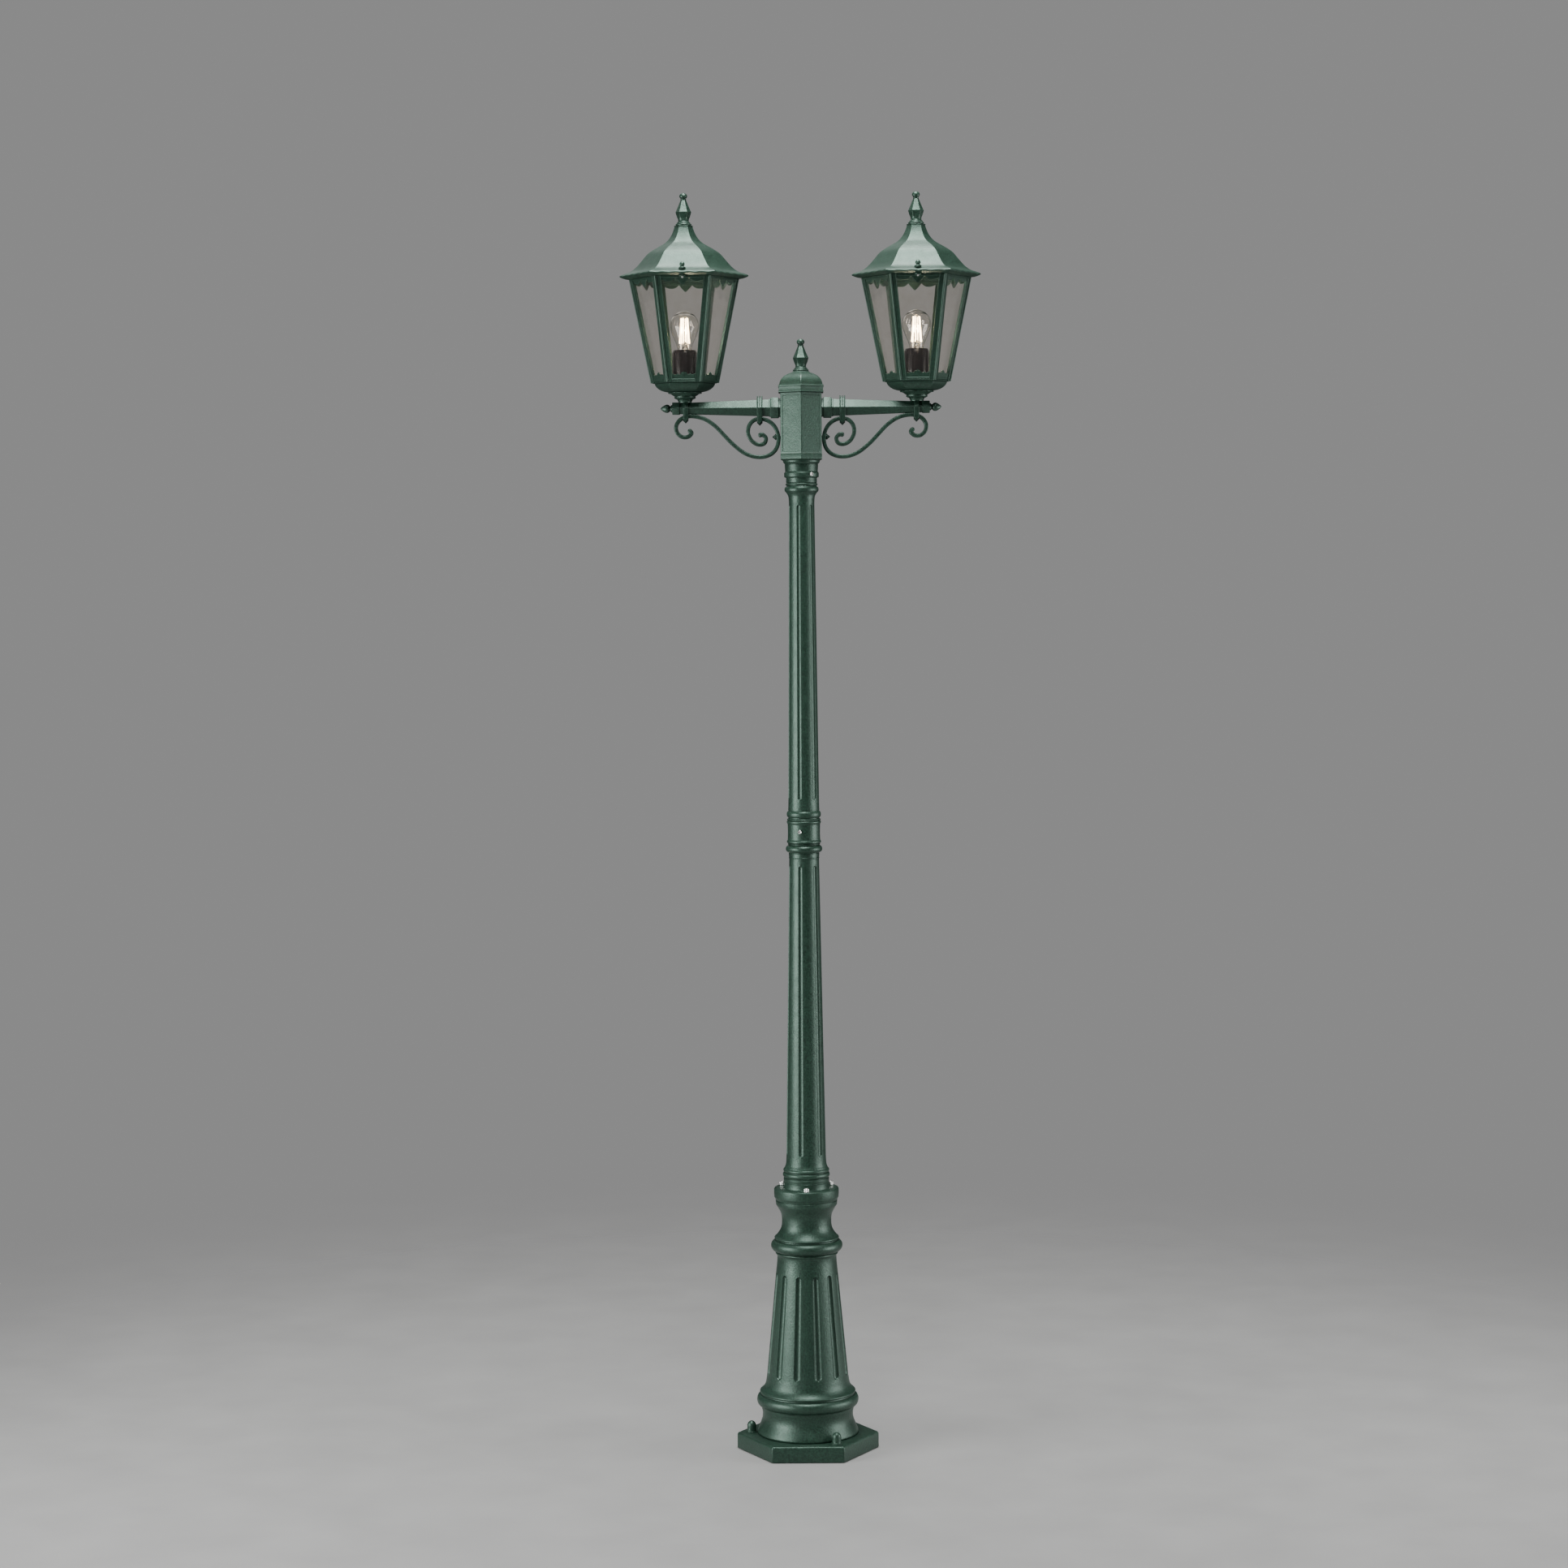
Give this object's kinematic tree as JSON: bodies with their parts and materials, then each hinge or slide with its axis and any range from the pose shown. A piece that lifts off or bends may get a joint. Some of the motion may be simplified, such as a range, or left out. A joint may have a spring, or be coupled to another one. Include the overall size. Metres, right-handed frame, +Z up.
{
  "type": "street lamp post",
  "caption": "Fluted street lamp post on a hexagonal foot, with two scroll-bracket arms that each carry a six-sided glazed lantern with a swept roof.",
  "frame": {"origin": "centre of the foot plate's underside, on the post's axis", "axes": "+Z up along the post; the lantern arms lie along +X and -X; -Y is the front"},
  "size_m": [0.6592, 0.2286, 2.32],
  "materials": {
    "green_powder_coat": "satin dark green powder coat with a fine orange peel",
    "stainless_steel": "bright turned stainless steel",
    "bulb_cap_metal": "nickel-plated thread",
    "contact_brass": "bright brass",
    "lantern_glass": "clear seeded glass",
    "bulb_glass": "clear blown glass",
    "filament_phosphor": "warm lit phosphor",
    "holder_plastic": "glossy black moulding",
    "cable_sleeve": "matt black sleeve",
    "terminal_plastic": "natural white moulding",
    "connector_plastic": "matt black moulding"
  },
  "bodies": {
    "post": {"anchor_cap_nut_1": "green_powder_coat", "anchor_cap_nut_2": "green_powder_coat", "anchor_cap_nut_3": "green_powder_coat", "base_connector": "connector_plastic", "collar_screw": "stainless_steel", "head_cap": "green_powder_coat", "head_finial": "green_powder_coat", "head_housing": "green_powder_coat", "joint_collar": "green_powder_coat", "left_arm": "green_powder_coat", "left_arm_tip": "green_powder_coat", "left_bowl": "green_powder_coat", "left_cage": "green_powder_coat", "left_glazing": "lantern_glass", "left_inner_clamp": "green_powder_coat", "left_lamp_holder": "holder_plastic", "left_lamp_lead": "cable_sleeve", "left_outer_clamp": "green_powder_coat", "left_scroll": "green_powder_coat", "left_scroll_screw": "green_powder_coat", "left_stem": "green_powder_coat", "lower_shaft": "green_powder_coat", "neck_screw": "stainless_steel", "pedestal": "green_powder_coat", "pedestal_screw_1": "stainless_steel", "pedestal_screw_2": "stainless_steel", "pedestal_screw_3": "stainless_steel", "right_arm": "green_powder_coat", "right_arm_tip": "green_powder_coat", "right_bowl": "green_powder_coat", "right_cage": "green_powder_coat", "right_glazing": "lantern_glass", "right_inner_clamp": "green_powder_coat", "right_lamp_holder": "holder_plastic", "right_lamp_lead": "cable_sleeve", "right_outer_clamp": "green_powder_coat", "right_scroll": "green_powder_coat", "right_scroll_screw": "green_powder_coat", "right_stem": "green_powder_coat", "riser_cable": "cable_sleeve", "terminal_block": "terminal_plastic", "upper_shaft": "green_powder_coat"},
    "left_roof_body": {"left_roof": "green_powder_coat", "left_roof_finial": "green_powder_coat"},
    "left_roof_knob_1_body": {"left_roof_knob_1": "green_powder_coat"},
    "left_roof_knob_2_body": {"left_roof_knob_2": "green_powder_coat"},
    "left_roof_knob_3_body": {"left_roof_knob_3": "green_powder_coat"},
    "left_bulb_seat": {"left_bulb_contact": "contact_brass"},
    "left_bulb_body": {"left_bulb_cap": "bulb_cap_metal", "left_bulb_glass": "bulb_glass", "left_filament": "filament_phosphor"},
    "right_roof_body": {"right_roof": "green_powder_coat", "right_roof_finial": "green_powder_coat"},
    "right_roof_knob_1_body": {"right_roof_knob_1": "green_powder_coat"},
    "right_roof_knob_2_body": {"right_roof_knob_2": "green_powder_coat"},
    "right_roof_knob_3_body": {"right_roof_knob_3": "green_powder_coat"},
    "right_bulb_seat": {"right_bulb_contact": "contact_brass"},
    "right_bulb_body": {"right_bulb_cap": "bulb_cap_metal", "right_bulb_glass": "bulb_glass", "right_filament": "filament_phosphor"}
  },
  "joints": [
    {"name": "left_roof_lift", "type": "slide", "parent": "post", "child": "left_roof_body", "axis": [0, 0, 1], "range_m": [0, 0.1]},
    {"name": "left_roof_knob_1_turn", "type": "hinge", "parent": "left_roof_body", "child": "left_roof_knob_1_body", "pos_m": [-0.212, -0.092, 2.1774], "axis": [0, 0, 1], "continuous": true},
    {"name": "left_roof_knob_2_turn", "type": "hinge", "parent": "left_roof_body", "child": "left_roof_knob_2_body", "pos_m": [-0.13233, 0.046, 2.1774], "axis": [0, 0, 1], "continuous": true},
    {"name": "left_roof_knob_3_turn", "type": "hinge", "parent": "left_roof_body", "child": "left_roof_knob_3_body", "pos_m": [-0.29167, 0.046, 2.1774], "axis": [0, 0, 1], "continuous": true},
    {"name": "left_bulb_rise", "type": "slide", "parent": "post", "child": "left_bulb_seat", "axis": [0, 0, 1], "range_m": [0, 0.02545]},
    {"name": "left_bulb_turn", "type": "hinge", "parent": "left_bulb_seat", "child": "left_bulb_body", "pos_m": [-0.212, 0, 2.0343], "axis": [0, 0, 1], "range_deg": [0, 2520]},
    {"name": "right_roof_lift", "type": "slide", "parent": "post", "child": "right_roof_body", "axis": [0, 0, 1], "range_m": [0, 0.1]},
    {"name": "right_roof_knob_1_turn", "type": "hinge", "parent": "right_roof_body", "child": "right_roof_knob_1_body", "pos_m": [0.212, -0.092, 2.1774], "axis": [0, 0, 1], "continuous": true},
    {"name": "right_roof_knob_2_turn", "type": "hinge", "parent": "right_roof_body", "child": "right_roof_knob_2_body", "pos_m": [0.29167, 0.046, 2.1774], "axis": [0, 0, 1], "continuous": true},
    {"name": "right_roof_knob_3_turn", "type": "hinge", "parent": "right_roof_body", "child": "right_roof_knob_3_body", "pos_m": [0.13233, 0.046, 2.1774], "axis": [0, 0, 1], "continuous": true},
    {"name": "right_bulb_rise", "type": "slide", "parent": "post", "child": "right_bulb_seat", "axis": [0, 0, 1], "range_m": [0, 0.02545]},
    {"name": "right_bulb_turn", "type": "hinge", "parent": "right_bulb_seat", "child": "right_bulb_body", "pos_m": [0.212, 0, 2.0343], "axis": [0, 0, 1], "range_deg": [0, 2520]}
  ],
  "couplings": [
    {"joint": "left_bulb_rise", "follows": "left_bulb_turn", "m_per_rad": 0.00057757},
    {"joint": "right_bulb_rise", "follows": "right_bulb_turn", "m_per_rad": 0.00057757}
  ]
}
